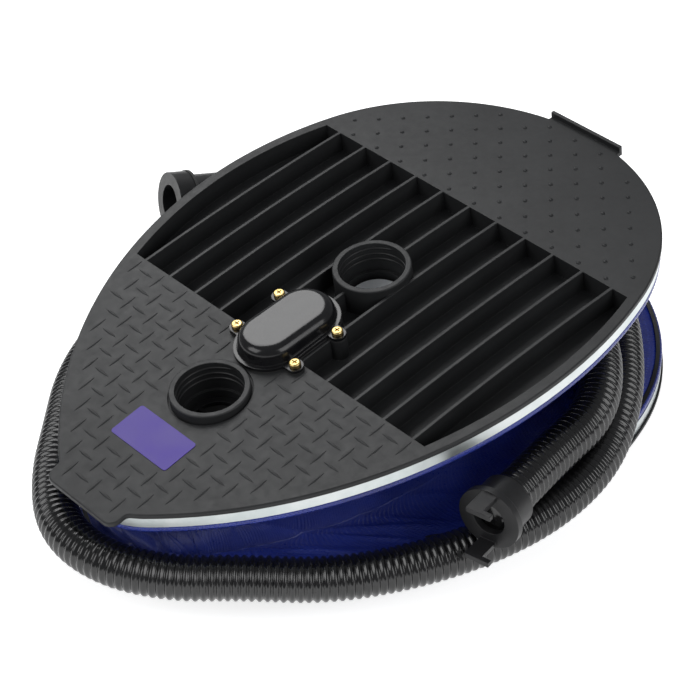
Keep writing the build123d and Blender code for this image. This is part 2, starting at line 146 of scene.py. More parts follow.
def grid_uv(u: np.ndarray, v: np.ndarray) -> np.ndarray:
    """The map of a grid whose u runs along the columns' edges and v along the rows' edges.

    Args:
        u: positions of the column lines, one more than the columns of faces.
        v: positions of the row lines, one more than the rows of faces.

    Returns:
        (faces * 4, 2) values in grid_faces' corner order.
    """
    rows, cols = len(v) - 1, len(u) - 1
    i, j = np.arange(rows)[:, None], np.arange(cols)[None, :]
    corner_u = np.stack([u[j], u[j + 1], u[j + 1], u[j]], -1) * np.ones((rows, 1, 1))
    corner_v = np.stack([v[i], v[i], v[i + 1], v[i + 1]], -1) * np.ones((1, cols, 1))
    return np.stack([corner_u, corner_v], -1).reshape(-1, 2)


def repeat_shape(points: np.ndarray, faces: np.ndarray, centres: np.ndarray,
                 turns: np.ndarray) -> tuple[np.ndarray, np.ndarray]:
    """Copies of one small shape, each turned about Z and set at its centre, as one mesh.

    Args:
        points: (n, 3) vertices of the shape.
        faces: its faces.
        centres: (m, 3) places.
        turns: (m,) angles in radians.

    Returns:
        All the vertices and all the faces.
    """
    c, s = np.cos(turns)[:, None], np.sin(turns)[:, None]
    x = points[None, :, 0] * c - points[None, :, 1] * s
    y = points[None, :, 0] * s + points[None, :, 1] * c
    z = np.broadcast_to(points[None, :, 2], x.shape)
    placed = np.stack([x, y, z], -1) + centres[:, None, :]
    shifts = (np.arange(len(centres)) * len(points))[:, None, None]
    return placed.reshape(-1, 3), (faces[None] + shifts).reshape(-1, faces.shape[1])


def tube_along(path: np.ndarray, radius: np.ndarray, sides: int) -> np.ndarray:
    """Rings of a tube along a path that never stands upright.

    Args:
        path: (n, 3) centres.
        radius: (n,) radius at each centre.
        sides: vertices in a ring.

    Returns:
        (n * sides, 3) vertices. Each ring is square to the path: its first direction is
        level, and the second is the tangent's cross with it.
    """
    tangent = np.gradient(path, axis=0)
    tangent /= np.linalg.norm(tangent, axis=1)[:, None]
    level = np.cross(UP, tangent)
    level /= np.linalg.norm(level, axis=1)[:, None]
    rise = np.cross(tangent, level)
    a = np.linspace(0, TAU, sides, endpoint=False)
    spokes = level[:, None, :] * np.cos(a)[None, :, None] + rise[:, None, :] * np.sin(a)[None, :, None]
    return (path[:, None, :] + spokes * radius[:, None, None]).reshape(-1, 3)


def spread(path: np.ndarray, count: int) -> tuple[np.ndarray, float]:
    """Points evenly spaced by length along a fine path.

    Args:
        path: (n, 3) points, close together.
        count: how many points to give.

    Returns:
        (count, 3) points and the path's length.
    """
    along = np.concatenate([[0], np.cumsum(np.linalg.norm(np.diff(path, axis=0), axis=1))])
    at = np.linspace(0, along[-1], count)
    return np.stack([np.interp(at, along, path[:, k]) for k in range(3)], -1), float(along[-1])


# --------------------------------------------------------------------------- outlines
@dataclass(frozen=True)
class Egg:
    """Egg outline: a wide and a narrow circle joined by two long flank arcs, in metres."""
    wide_x: float
    wide_r: float
    narrow_x: float
    narrow_r: float
    flank_r: float

    def trace(self, share: np.ndarray,
              inset: float | np.ndarray = 0.0) -> tuple[np.ndarray, np.ndarray, np.ndarray]:
        """Points on the outline at shares of the way round.

        The outline is told by the direction it faces: each of its four arcs faces its own
        range of angles, so a share of the length gives an angle, and the angle its arc.

        Args:
            share: any array of shares from 0 to 1, starting at the wide tip.
            inset: how far inside the outline, in metres.

        Returns:
            X, Y and the facing angle, each shaped like share.
        """
        d1, d2 = self.flank_r - self.wide_r, self.flank_r - self.narrow_r
        span = self.wide_x - self.narrow_x
        a = (span**2 + d2**2 - d1**2) / (2 * span)
        h = math.sqrt(d2**2 - a**2)
        flank_x = self.narrow_x + a
        f1 = math.atan2(h, self.wide_x - flank_x)
        f2 = math.atan2(h, self.narrow_x - flank_x)
        turn = np.array([0, f1, f2, TAU - f2, TAU - f1, TAU])
        reach = np.array([self.wide_r, self.flank_r, self.narrow_r, self.flank_r, self.wide_r])
        length = np.concatenate([[0], np.cumsum(np.diff(turn) * reach)])
        angle = np.interp(np.mod(share, 1.0), length / length[-1], turn)
        where = [angle < f1, angle < f2, angle < TAU - f2, angle < TAU - f1]
        cx = np.select(where, [self.wide_x, flank_x, self.narrow_x, flank_x], self.wide_x)
        cy = np.select(where, [0.0, -h, 0.0, h], 0.0)
        r = np.select(where, reach[:4], self.wide_r) - inset
        return cx + r * np.cos(angle), cy + r * np.sin(angle), angle

    def holds(self, x: np.ndarray, y: np.ndarray, inset: float) -> np.ndarray:
        """Which points lie inside the outline by at least inset.

        Args:
            x: X of the points.
            y: Y of the points.
            inset: the least distance, measured along Y.

        Returns:
            True for each point inside.
        """
        ex, ey, _ = self.trace(np.linspace(0, 1, 721))
        half = np.interp(x, *self._upper(ex, ey), left=0, right=0)
        return np.abs(y) < half - inset

    @staticmethod
    def _upper(ex: np.ndarray, ey: np.ndarray) -> tuple[np.ndarray, np.ndarray]:
        """The outline's upper half.

        Args:
            ex: X all round.
            ey: Y all round.

        Returns:
            Rising X, with the Y of each.
        """
        keep = ey >= 0
        order = np.argsort(ex[keep])
        return ex[keep][order], ey[keep][order]


OUTLINE = Egg(0.132, 0.1442, -0.0834, 0.0658, 0.2832)
WAIST = Egg(0.108, 0.082, -0.0834, 0.0568, 0.330)


@dataclass(frozen=True)
class Plate:
    """Where one of the two mirrored, arched plates stands, and how its drawing maps to the row frame."""
    body: str
    up: float
    tilt: float
    shift: float
    height: float
    arch_r: float = 1.920
    apex_x: float = 0.072

    def drop(self, x: np.ndarray) -> np.ndarray:
        """Depth of the arched face below its highest line."""
        return self.arch_r - np.sqrt(self.arch_r**2 - (x - self.apex_x) ** 2)

    def place(self, x: np.ndarray, y: np.ndarray, depth: np.ndarray) -> np.ndarray:
        """Row-frame points of plate points.

        The point is lowered from the arch by its depth, then turned by the tilt about Y.

        Args:
            x: plate X.
            y: plate Y.
            depth: distance inwards from the outer face.

        Returns:
            The points, with x, y and z along the last axis.
        """
        z = -self.up * (self.drop(x) + depth)
        c, s = math.cos(self.tilt), math.sin(self.tilt)
        return np.stack([self.shift + x * c - z * s, y + 0 * z, self.height + x * s + z * c], -1)


DECK = Plate("deck", 1.0, math.radians(6.02), -0.068299, 0.10137)
BASE = Plate("base", -1.0, 0.0, -0.058539, 0.00125)


# ---------------------------------------------------------------------------- finishes
class Paint:
    """A short way to build one node material round a Principled shader."""

    def __init__(self, name: str) -> None:
        """Starts an empty material of that name."""
        self.material = bpy.data.materials.new(name)
        self.material.use_nodes = True
        self.nodes = self.material.node_tree.nodes
        self.links = self.material.node_tree.links
        self.shader = self.nodes["Principled BSDF"]

    def add(self, kind: str, **inputs: object) -> bpy.types.Node:
        """A node with values on its sockets.

        Args:
            kind: the node's type name.
            inputs: socket names, with _ for a blank, and a value or an output socket each.

        Returns:
            The node.
        """
        node = self.nodes.new(kind)
        for key, value in inputs.items():
            self.put(node.inputs[key.replace("_", " ")], value)
        return node

    def put(self, socket: bpy.types.NodeSocket, value: object) -> None:
        """Sets a socket to a value, or links an output to it."""
        if isinstance(value, bpy.types.NodeSocket):
            self.links.new(value, socket)
        else:
            socket.default_value = value

    def coords(self, which: str = "Object") -> bpy.types.NodeSocket:
        """The texture coordinate output of that name."""
        return self.add("ShaderNodeTexCoord").outputs[which]

    def noise(self, scale: float, detail: float = 3.0, rough: float = 0.5) -> bpy.types.NodeSocket:
        """A noise value at a scale per metre."""
        return self.add("ShaderNodeTexNoise", Vector=self.coords(), Scale=scale, Detail=detail,
                        Roughness=rough).outputs["Fac"]

    def math(self, operation: str, a: object, b: object = 0.0, c: object = 0.0) -> bpy.types.NodeSocket:
        """One Math node's value.

        Args:
            operation: the node's operation.
            a: first number or socket.
            b: second.
            c: third.

        Returns:
            The node's output.
        """
        node = self.nodes.new("ShaderNodeMath")
        node.operation = operation
        for socket, value in zip(node.inputs, (a, b, c)):
            self.put(socket, value)
        return node.outputs[0]

    def fit(self, value: bpy.types.NodeSocket, low: float, high: float, start: float = 0.3,
            end: float = 0.7) -> bpy.types.NodeSocket:
        """A value mapped from one range to another, clamped.

        Args:
            value: the socket to map.
            low: result at start.
            high: result at end.
            start: lowest value.
            end: highest value.

        Returns:
            The mapped value.
        """
        node = self.add("ShaderNodeMapRange", Value=value)
        for key, number in (("From Min", start), ("From Max", end), ("To Min", low), ("To Max", high)):
            node.inputs[key].default_value = number
        return node.outputs[0]

    def mix(self, share: object, a: object, b: object) -> bpy.types.NodeSocket:
        """A colour mixed from a to b.

        Args:
            share: 0 for a, 1 for b.
            a: a colour or socket.
            b: a colour or socket.

        Returns:
            The mixed colour.
        """
        node = self.nodes.new("ShaderNodeMix")
        node.data_type = "RGBA"
        self.put(node.inputs["Factor"], share)
        self.put(node.inputs[6], a)
        self.put(node.inputs[7], b)
        return node.outputs[2]

    def bump(self, height: bpy.types.NodeSocket, distance: float, strength: float = 1.0,
             under: bpy.types.NodeSocket | None = None) -> bpy.types.NodeSocket:
        """A bumped normal.

        Args:
            height: the height's socket.
            distance: height of 1, in metres.
            strength: how much of it shows.
            under: a normal that it lies on, or None.

        Returns:
            The normal.
        """
        node = self.add("ShaderNodeBump", Height=height, Strength=strength, Distance=distance)
        if under is not None:
            self.put(node.inputs["Normal"], under)
        return node.outputs["Normal"]

    def finish(self, **sockets: object) -> bpy.types.Material:
        """Sets the shader's sockets, with _ for a blank, and gives the material."""
        for key, value in sockets.items():
            self.put(self.shader.inputs[key.replace("_", " ")], value)
        return self.material


def rgb(red: float, green: float, blue: float) -> tuple[float, float, float, float]:
    """An opaque linear colour."""
    return red, green, blue, 1.0


@dataclass(frozen=True)
class Moulding:
    """Matt black moulded plastic: a fine even grain, faint cloudy wear and softened edges."""
    name: str
    colour: tuple[float, float, float, float]
    cloud: tuple[float, float, float, float]
    roughness: float
    grain: float = 2600.0
    grain_depth: float = 0.00006
    edge: float = 0.0006
    shine: float = 0.3

    def material(self) -> bpy.types.Material:
        """Builds the node material.

        Returns:
            The material.
        """
        paint = Paint(self.name)
        cloud = paint.noise(22.0, 4.0, 0.6)
        grain = paint.noise(self.grain, 2.0, 0.5)
        scuff = paint.noise(180.0, 5.0, 0.7)
        edge = paint.add("ShaderNodeBevel", Radius=self.edge)
        edge.samples = 6
        colour = paint.mix(paint.fit(cloud, 0.0, 1.0), self.colour, self.cloud)
        rough = paint.math("ADD", paint.fit(scuff, -0.05, 0.07), self.roughness)
        return paint.finish(Base_Color=colour, Roughness=rough, Specular_IOR_Level=self.shine,
                            Normal=paint.bump(grain, self.grain_depth, 0.5, edge.outputs["Normal"]))


@dataclass(frozen=True)
class BandSteel:
    """Thin zinc-plated strip: bright, drawn along its length, with faint grey cloudiness."""
    name: str = "zinc_strip"

    def material(self) -> bpy.types.Material:
        """Builds the node material.

        Returns:
            The material.
        """
        paint = Paint(self.name)
        cloud = paint.noise(28.0, 5.0, 0.65)
        fine = paint.noise(900.0, 3.0, 0.6)
        colour = paint.mix(paint.fit(cloud, 0.0, 1.0, 0.35, 0.65), rgb(0.66, 0.69, 0.69), rgb(0.52, 0.57, 0.57))
        rough = paint.math("ADD", paint.fit(fine, 0.0, 0.10), 0.30)
        return paint.finish(Base_Color=colour, Roughness=rough, Metallic=1.0,
                            Normal=paint.bump(cloud, 0.0004, 0.4))


@dataclass(frozen=True)
class CoatedFabric:
    """Coated woven fabric: threads over and under at a fixed pitch, blue with painted patches of light and
    shade, semi-gloss.
    """
    name: str = "blue_coated_weave"
    pitch: float = 0.0013
    # lit and deep are a lit and a shaded copy of the blue: painted light and shade.
    lit: tuple[float, float, float, float] = rgb(0.013, 0.036, 0.34)
    deep: tuple[float, float, float, float] = rgb(0.005, 0.013, 0.17)

    def material(self) -> bpy.types.Material:
        """Builds the node material from the piece's UVMap, which is in metres."""
        paint = Paint(self.name)
        uv = paint.coords("UV")
        split = paint.add("ShaderNodeSeparateXYZ", Vector=uv)
        turns = TAU / self.pitch
        warp = paint.math("SINE", paint.math("MULTIPLY", split.outputs[0], turns / 2))
        weft = paint.math("SINE", paint.math("MULTIPLY", split.outputs[1], turns / 2))
        weave = paint.math("MULTIPLY", warp, weft)
        ribs = paint.math("ADD", paint.math("ABSOLUTE", warp), paint.math("ABSOLUTE", weft))
        height = paint.math("ADD", paint.math("MULTIPLY", weave, 0.7), ribs)
        cloud = paint.noise(16.0, 5.0, 0.6)
        speck = paint.noise(700.0, 2.0, 0.6)
        # Painted light and shade: the blue mixes from its lit copy to its shaded copy in soft noise patches.
        colour = paint.mix(paint.fit(cloud, 0.0, 1.0), self.lit, self.deep)
        pale = paint.fit(paint.math("MULTIPLY", ribs, speck), 0.0, 0.35, 0.85, 1.25)
        colour = paint.mix(pale, colour, rgb(0.07, 0.13, 0.60))
        soft = paint.bump(cloud, 0.004, 0.5)
        return paint.finish(Base_Color=colour, Roughness=paint.fit(speck, 0.26, 0.46),
                            Coat_Weight=0.35, Coat_Roughness=0.25,
                            Normal=paint.bump(height, 0.00018, 0.8, soft))


@dataclass(frozen=True)
class HoseGloss:
    """Glossy black blown plastic with faint flow marks."""
    name: str = "glossy_hose"

    def material(self) -> bpy.types.Material:
        """Builds the node material.

        Returns:
            The material.
        """
        paint = Paint(self.name)
        cloud = paint.noise(60.0, 3.0, 0.6)
        colour = paint.mix(paint.fit(cloud, 0.0, 1.0), rgb(0.005, 0.005, 0.0055), rgb(0.009, 0.009, 0.0095))
        return paint.finish(Base_Color=colour, Roughness=paint.fit(cloud, 0.14, 0.22), Specular_IOR_Level=0.6)


@dataclass(frozen=True)
class PolishedBlack:
    """Polished black moulding with a very faint orange-peel surface."""
    name: str = "polished_black"

    def material(self) -> bpy.types.Material:
        """Builds the node material.

        Returns:
            The material.
        """
        paint = Paint(self.name)
        cloud = paint.noise(130.0, 3.0, 0.5)
        edge = paint.add("ShaderNodeBevel", Radius=0.0007)
        colour = paint.mix(paint.fit(cloud, 0.0, 1.0), rgb(0.006, 0.006, 0.007), rgb(0.010, 0.010, 0.011))
        return paint.finish(Base_Color=colour, Roughness=paint.fit(cloud, 0.16, 0.22), Specular_IOR_Level=0.4,
                            Normal=paint.bump(cloud, 0.0002, 0.4, edge.outputs["Normal"]))


@dataclass(frozen=True)
class PlainFinish:
    """A small part's finish: one colour clouded by a second, with an even fine grain."""
    name: str
    colour: tuple[float, float, float, float]
    cloud: tuple[float, float, float, float]
    roughness: float
    metallic: float = 0.0
    scale: float = 300.0
    depth: float = 0.00008
    shine: float = 0.5

    def material(self) -> bpy.types.Material:
        """Builds the node material.

        Returns:
            The material.
        """
        paint = Paint(self.name)
        cloud = paint.noise(self.scale, 4.0, 0.6)
        colour = paint.mix(paint.fit(cloud, 0.0, 1.0), self.colour, self.cloud)
        return paint.finish(Base_Color=colour, Metallic=self.metallic, Specular_IOR_Level=self.shine,
                            Roughness=paint.fit(cloud, self.roughness - 0.05, self.roughness + 0.08),
                            Normal=paint.bump(cloud, self.depth, 0.5))


class Finish(Enum):
    """Every finish on the pump."""
    DECK = Moulding("black_deck_moulding", rgb(0.016, 0.0165, 0.0175),
                    rgb(0.023, 0.024, 0.025), 0.50, shine=0.32)
    FITTING = Moulding("black_fitting_moulding", rgb(0.010, 0.010, 0.011),
                       rgb(0.016, 0.016, 0.017), 0.40, shine=0.35)
    BAND = BandSteel()
    FABRIC = CoatedFabric()
    HOSE = HoseGloss()
    POLISHED = PolishedBlack()
    SCREW = PlainFinish("yellow_zinc", rgb(0.66, 0.50, 0.22), rgb(0.50, 0.36, 0.13), 0.33, 1.0)
    VALVE = PlainFinish("white_valve_rubber", rgb(0.80, 0.82, 0.84), rgb(0.72, 0.75, 0.78), 0.45)
    RUBBER = PlainFinish("black_rubber", rgb(0.016, 0.016, 0.016), rgb(0.026, 0.026, 0.026), 0.62)
    SPRING = PlainFinish("oiled_spring_wire", rgb(0.45, 0.45, 0.46), rgb(0.28, 0.27, 0.26), 0.34, 1.0)
    STICKER = PlainFinish("violet_sticker", rgb(0.040, 0.014, 0.235), rgb(0.050, 0.020, 0.28), 0.34, scale=40.0,
                          depth=0.0002, shine=0.25)


class Wardrobe:
    """Makes each finish's material once and dresses pieces with it."""

    def __init__(self) -> None:
        """Starts with nothing made."""
        self.made: dict[Finish, bpy.types.Material] = {}

    def dress(self, piece: bpy.types.Object, finish: Finish, slot: str | None = None) -> bpy.types.Object:
        """Puts a finish on a piece.

        Args:
            piece: a new piece or a CAD node's object.
            finish: the finish.
            slot: the record's material slot, for a new piece; not used.

        Returns:
            The piece.
        """
        if finish not in self.made:
            self.made[finish] = finish.value.material()
        piece.data.materials.clear()
        piece.data.materials.append(self.made[finish])
        return piece


# ------------------------------------------------------------------------------- stage
@dataclass
class Studio:
    """Camera, floor, lamps and world: soft, plain light on a white ground."""
    eye: tuple[float, float, float] = (-0.72396, -0.80491, 0.93667)
    right: tuple[float, float, float] = (0.73027, -0.68254, -0.02899)
    up: tuple[float, float, float] = (0.44729, 0.44563, 0.77547)
    forward: tuple[float, float, float] = (0.51637, 0.57927, -0.63072)
    lens: float = 114.72
    floor_half: float = 6.0

    def build(self) -> None:
        """Makes the whole stage."""
        self.camera()
        self.world()
        self.floor()
        self.lamp("lamp_back", (0.5, 1.5, 1.9), (0.0, 0.0, 0.05), 1.5, 36.0)
        self.lamp("lamp_left", (-1.7, 0.5, 1.3), (0.0, 0.0, 0.05), 1.2, 14.0)
        self.lamp("lamp_front", (0.3, -1.9, 1.2), (0.0, 0.0, 0.05), 1.4, 18.0)

    def camera(self) -> None:
        """The camera, looking down at the narrow end's front side."""
        data = bpy.data.cameras.new("camera")
        data.lens, data.sensor_width = self.lens, 36.0
        data.clip_start, data.clip_end = 0.05, 50.0
        camera = bpy.data.objects.new("camera", data)
        bpy.context.scene.collection.objects.link(camera)
        columns = np.stack([self.right, self.up, -np.array(self.forward)], 1)
        turn = Matrix(columns.tolist()).to_4x4()
        camera.matrix_world = Matrix.Translation(self.eye) @ turn
        bpy.context.scene.camera = camera

    def world(self) -> None:
        """Soft grey light all round, seen as white by the camera and in gloss."""
        world = bpy.data.worlds.new("studio")
        bpy.context.scene.world = world
        world.use_nodes = True
        nodes, links = world.node_tree.nodes, world.node_tree.links
        nodes.clear()
        out = nodes.new("ShaderNodeOutputWorld")
        seen, light = nodes.new("ShaderNodeBackground"), nodes.new("ShaderNodeBackground")
        seen.inputs["Color"].default_value = rgb(1.0, 1.0, 1.0)
        light.inputs["Color"].default_value = rgb(0.95, 0.97, 1.0)
        light.inputs["Strength"].default_value = 0.26
        path, mix = nodes.new("ShaderNodeLightPath"), nodes.new("ShaderNodeMixShader")
        links.new(path.outputs["Is Camera Ray"], mix.inputs["Fac"])
        links.new(light.outputs[0], mix.inputs[1])
        links.new(seen.outputs[0], mix.inputs[2])
        links.new(mix.outputs[0], out.inputs["Surface"])

    def floor(self) -> None:
        """A pale floor that turns white to the camera and keeps the pump's shadow."""
        h = self.floor_half
        points = np.array([[-h, -h, 0], [h, -h, 0], [h, h, 0], [-h, h, 0]])
        floor = make_piece("floor", points, np.array([[0, 1, 2, 3]]), smooth=False)
        paint = Paint("pale_floor")
        paint.put(paint.shader.inputs["Base Color"], rgb(0.86, 0.86, 0.86))
        paint.put(paint.shader.inputs["Roughness"], 0.9)
        glow = paint.add("ShaderNodeEmission", Color=rgb(1, 1, 1))
        glow.inputs["Strength"].default_value = 0.72
        path = paint.add("ShaderNodeLightPath")
        seen = paint.math("MAXIMUM", path.outputs["Is Camera Ray"], path.outputs["Is Glossy Ray"])
        both = paint.nodes.new("ShaderNodeAddShader")
        paint.links.new(paint.shader.outputs[0], both.inputs[0])
        paint.links.new(glow.outputs[0], both.inputs[1])
        mix = paint.nodes.new("ShaderNodeMixShader")
        paint.links.new(seen, mix.inputs["Fac"])
        paint.links.new(paint.shader.outputs[0], mix.inputs[1])
        paint.links.new(both.outputs[0], mix.inputs[2])
        paint.links.new(mix.outputs[0], paint.nodes["Material Output"].inputs["Surface"])
        floor.data.materials.append(paint.material)

    @staticmethod
    def lamp(name: str, place: tuple[float, float, float], target: tuple[float, float, float], size: float,
             power: float) -> None:
        """A square area lamp.

        Args:
            name: its name.
            place: where it stands.
            target: the point that it faces.
            size: its side.
            power: its power in watts.
        """
        data = bpy.data.lights.new(name, "AREA")
        data.size, data.energy = size, power
        lamp = bpy.data.objects.new(name, data)
        bpy.context.scene.collection.objects.link(lamp)
        lamp.location = place
        aim = Vector(target) - Vector(place)
        lamp.rotation_euler = aim.to_track_quat("-Z", "Y").to_euler()


# -------------------------------------------------------------------------------- hose
@dataclass
class Hose:
    """The corrugated hose wound one and a half times round the bellows, with its two fittings."""
    wardrobe: Wardrobe
    diameter: float = 0.027
    ring_pitch: float = 0.0046
    groove: float = 0.0016
    rows_per_ring: int = 6
    sides: int = 28

    def centreline(self) -> np.ndarray:
        """The smooth line of the hose, read from a NURBS spline of the route's points."""
        data = bpy.data.curves.new("hose_line", "CURVE")
        data.dimensions = "3D"
        data.resolution_u = 24
        spline = data.splines.new("NURBS")
        spline.points.add(len(HOSE_ROUTE) - 1)
        spline.points.foreach_set("co", [c for p in HOSE_ROUTE for c in (*p, 1.0)])
        spline.order_u = 3
        spline.use_endpoint_u = True
        line = bpy.data.objects.new("hose_line", data)
        bpy.context.scene.collection.objects.link(line)
        mesh = bpy.data.meshes.new_from_object(line)
        points = np.zeros(len(mesh.vertices) * 3)
        mesh.vertices.foreach_get("co", points)
        bpy.data.objects.remove(line)
        bpy.data.meshes.remove(mesh)
        return points.reshape(-1, 3)

    def build(self) -> None:
        """Makes the hose's mesh and dresses it.

        The tube's radius swells and narrows along its length: rounded rings with a narrow
        groove between two, the radius less the groove's depth times a steep cosine.
        """
        fine = self.centreline()
        _, length = spread(fine, 2)
        rings = round(length / self.ring_pitch)
        path, length = spread(fine, rings * self.rows_per_ring + 1)
        phase = np.arange(len(path)) / self.rows_per_ring
        dip = (0.5 + 0.5 * np.cos(TAU * phase)) ** 1.6
        radius = self.diameter / 2 - self.groove * dip
        points = tube_along(path, radius, self.sides)
        count = len(points)
        points = np.concatenate([points, path[:1], path[-1:]])
        faces = grid_faces(len(path), self.sides, closed_cols=True)
        j = np.arange(self.sides)
        k = (j + 1) % self.sides
        last = count - self.sides
        start_cap = np.stack([k, j, j * 0 + count, j * 0 + count], -1)
        end_cap = np.stack([last + j, last + k, j * 0 + count + 1, j * 0 + count + 1], -1)
        triangles = np.concatenate([
            faces[:, [0, 1, 2]], faces[:, [0, 2, 3]], start_cap[:, :3], end_cap[:, :3]])
        hose = make_piece("corrugated_hose", points, triangles)
        self.wardrobe.dress(hose, Finish.HOSE, "hose_black")
        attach(hose, "base")
        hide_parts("hose")
        LOG.info("hose %.3f m, %d rings", length, rings)


# ------------------------------------------------------------------------------ bellows
@dataclass
class Bellows:
    """The fabric wall between the plates and the piped hem round each plate's rim."""
    wardrobe: Wardrobe
    rim_depth: float = 0.0165
    flap_inset: float = 0.0035
    around: int = 760
    down: int = 60
    seed: int = 7
    curl: float = 0.8
    settle: float = 0.15
    near_plate: float = 0.42
    height_start: float = 0.22
    tuck: float = 0.001
    sag: float = 0.006
    wall_fold: float = 0.006
    flap_fold: float = 0.0045
    plate_fold: float = 0.0022
    cloth_thickness: float = 0.0008
    run_round: float = 1.17

    def creases(self, share: np.ndarray, t: np.ndarray) -> np.ndarray:
        """How far the wall stands from its smooth shape, as folds that fan from the hems.

        Each fold is a sharp ridge: one less the size of a sine of the way round, squared,
        with the sine's phase shifted by t so that the fold leans, and a height that fades in
        and out round the wall.

        Args:
            share: share of the way round, on the grid.
            t: share of the way down, on the grid.

        Returns:
            Heights in metres.
        """
        rng = np.random.default_rng(self.seed)
        total = np.zeros_like(share)
        for count in (9, 14, 23, 37, 53):
            lean, phase, patch = rng.uniform(-2.2, 2.2), rng.uniform(0, TAU), rng.uniform(0, TAU)
            wave = np.abs(np.sin(count / 2 * TAU * share + lean * (t - 0.5) * 3 + phase))
            fade = 0.5 + 0.5 * np.sin(TAU * share * (count % 4 + 2) + patch)
            total += (1 - wave) ** 2.2 * fade * (9 / count) ** 0.55
        return total

    def wall(self) -> bpy.types.Object:
        """The wall: from the deck's hem in along the plate to the waist, down, and out again.

        The share of the way from the outline to the waist is a smooth step near each plate,
        and the height is a smooth step between, so the profile is a rounded C lying on its
        side.

        Returns:
            The fabric piece.
        """
        s = np.linspace(0, 1, self.around, endpoint=False)[None, :]
        t = np.linspace(0, 1, self.down + 1)[:, None]
        share = np.broadcast_to(s, (self.down + 1, self.around))
        ox, oy, _ = OUTLINE.trace(share, self.flap_inset)
        wx, wy, _ = WAIST.trace(self.waist_share(share))
        near = np.clip(np.minimum(t, 1 - t) / self.near_plate, 0, 1)
        bent = near**self.curl
        reach = np.clip(bent * (3 - 2 * bent) * near**self.settle, 0, 1)
        height = np.clip((t - self.height_start) / (1 - 2 * self.height_start), 0, 1)
        height = height * height * (3 - 2 * height)
        x, y = ox + (wx - ox) * reach, oy + (wy - oy) * reach
        depth = self.rim_depth - self.tuck + self.sag * near
        top, low = DECK.place(x, y, depth), BASE.place(x, y, depth)
        # Both plates' points are over the same plate X, so their row X differ a little.
        points = top * (1 - height)[..., None] + low * height[..., None]
        fold = self.creases(share, t)
        fade = np.clip(np.minimum(t, 1 - t) / 0.08, 0, 1)
        inward = -np.stack([ox - wx, oy - wy, 0 * ox], -1)
        inward /= np.linalg.norm(inward, axis=-1)[..., None] + 1e-9
        middle = np.sin(np.pi * t) ** 2
        lift = np.stack([0 * x, 0 * x, np.where(t < 0.5, 1.0, -1.0) * (1 - middle) + 0 * x], -1)
        fold = fold[..., None]
        push = inward * self.wall_fold * fold * middle[..., None]
        push -= lift * self.flap_fold * fold * (1 - reach)[..., None]
        push -= lift * self.plate_fold * fold
        points = points + push * fade[..., None]
        u = np.linspace(0, 1.16, self.around + 1)
        v = np.linspace(0, 0.22, self.down + 1)
        piece = make_piece("bellows_wall", points.reshape(-1, 3),
                           grid_faces(self.down + 1, self.around, closed_cols=True), grid_uv(u, v))
        solid = piece.modifiers.new("cloth", "SOLIDIFY")
        solid.thickness, solid.offset = self.cloth_thickness, 0.0
        self.wardrobe.dress(piece, Finish.FABRIC, "blue_fabric")
        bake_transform(piece)
        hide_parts("bellows")
        return piece

    @staticmethod
    def waist_share(share: np.ndarray) -> np.ndarray:
        """Matches the waist to the outline by the way they face.

        Args:
            share: shares of the way round the outline.

        Returns:
            The waist's shares at which it faces the same way.
        """
        _, _, facing = OUTLINE.trace(np.mod(share, 1.0))
        table = np.linspace(0, 0.99999, 4001)
        _, _, angles = WAIST.trace(table)
        return np.interp(facing, angles, table)

    def hem(self, plate: Plate, name: str, node: str) -> bpy.types.Object:
        """A rounded bead of fabric under the steel band, puckered at each stitch.

        Args:
            plate: the plate whose rim it edges.
            name: the piece's name.
            node: the CAD node that it stands for.

        Returns:
            The piece.
        """
        count, sides, stitch = 1500, 10, 0.0042
        s = np.linspace(0, 1, count, endpoint=False)
        a = np.linspace(0, TAU, sides, endpoint=False)
        run = self.run_round * s
        pucker = 1 - 0.10 * np.abs(np.sin(np.pi * run / stitch)) ** 6
        share = np.broadcast_to(s[:, None], (count, sides))
        across = 0.0013 * np.cos(a)[None, :] * pucker[:, None]
        deep = 0.0024 * np.sin(a)[None, :] * pucker[:, None]
        x, y, _ = OUTLINE.trace(share, 0.0024 - across)
        points = plate.place(x, y, 0.01400 + deep)
        faces = grid_faces(count, sides, True, True)
        if plate.up < 0:
            faces = faces[:, ::-1]
        piece = make_piece(name, points.reshape(-1, 3), faces,
                           grid_uv(np.linspace(0, 0.012, sides + 1), np.linspace(0, self.run_round, count + 1)))
        self.wardrobe.dress(piece, Finish.FABRIC, "blue_fabric")
        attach(piece, plate.body)
        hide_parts(node)
        return piece

    def build(self) -> None:
        """Makes the wall and both hems."""
        wall = self.wall()
        self.hem(DECK, "deck_hem_bead", "deck_hem")
        self.hem(BASE, "base_hem_bead", "base_hem")
        LOG.info("bellows wall of %d faces", len(wall.data.polygons))


